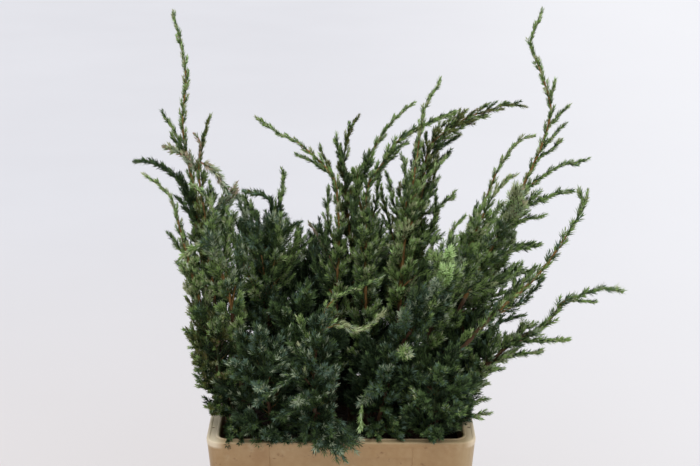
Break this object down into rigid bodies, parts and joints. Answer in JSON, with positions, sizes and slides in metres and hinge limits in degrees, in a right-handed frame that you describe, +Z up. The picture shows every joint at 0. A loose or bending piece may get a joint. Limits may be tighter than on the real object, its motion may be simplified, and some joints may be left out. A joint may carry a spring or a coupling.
{
  "type": "potted meyeri juniper",
  "caption": "Bushy juniper with upright and arching whips of blue-green needles, growing out of a rectangular plastic pot.",
  "frame": {"origin": "middle of the pot's flat underside", "axes": "+Z up, +X to the right as the pot's long front side is seen, -Y out of that front side"},
  "size_m": [0.716, 0.3673, 0.8591],
  "materials": {
    "pot_plastic": "satin",
    "soil": "matte",
    "bark": "matte",
    "needles": "matte"
  },
  "bodies": {
    "root": {"bush_back": "needles", "bush_back_left": "needles", "bush_back_right": "needles", "bush_centre": "needles", "bush_front_left": "needles", "bush_front_right": "needles", "bush_left": "needles", "bush_left_back": "needles", "bush_middle": "needles", "bush_middle_right": "needles", "bush_right": "needles", "bush_right_back": "needles", "foliage_arch": "needles", "foliage_arch_left": "needles", "foliage_back_far_right": "needles", "foliage_back_left": "needles", "foliage_back_mid": "needles", "foliage_back_right": "needles", "foliage_centre": "needles", "foliage_centre_left": "needles", "foliage_centre_right": "needles", "foliage_front_left": "needles", "foliage_front_right": "needles", "foliage_front_spray": "needles", "foliage_left_leader": "needles", "foliage_left_mid": "needles", "foliage_left_outer": "needles", "foliage_left_second": "needles", "foliage_right_back": "needles", "foliage_right_diagonal": "needles", "foliage_right_high": "needles", "foliage_right_inner": "needles", "foliage_right_leader": "needles", "foliage_right_low": "needles", "foliage_upright": "needles", "pot": "pot_plastic", "soil": "soil", "stem_arch": "bark", "stem_arch_left": "bark", "stem_back_far_right": "bark", "stem_back_left": "bark", "stem_back_mid": "bark", "stem_back_right": "bark", "stem_centre": "bark", "stem_centre_left": "bark", "stem_centre_right": "bark", "stem_front_left": "bark", "stem_front_right": "bark", "stem_front_spray": "bark", "stem_left_leader": "bark", "stem_left_mid": "bark", "stem_left_outer": "bark", "stem_left_second": "bark", "stem_right_back": "bark", "stem_right_diagonal": "bark", "stem_right_high": "bark", "stem_right_inner": "bark", "stem_right_leader": "bark", "stem_right_low": "bark", "stem_upright": "bark"}
  },
  "joints": []
}
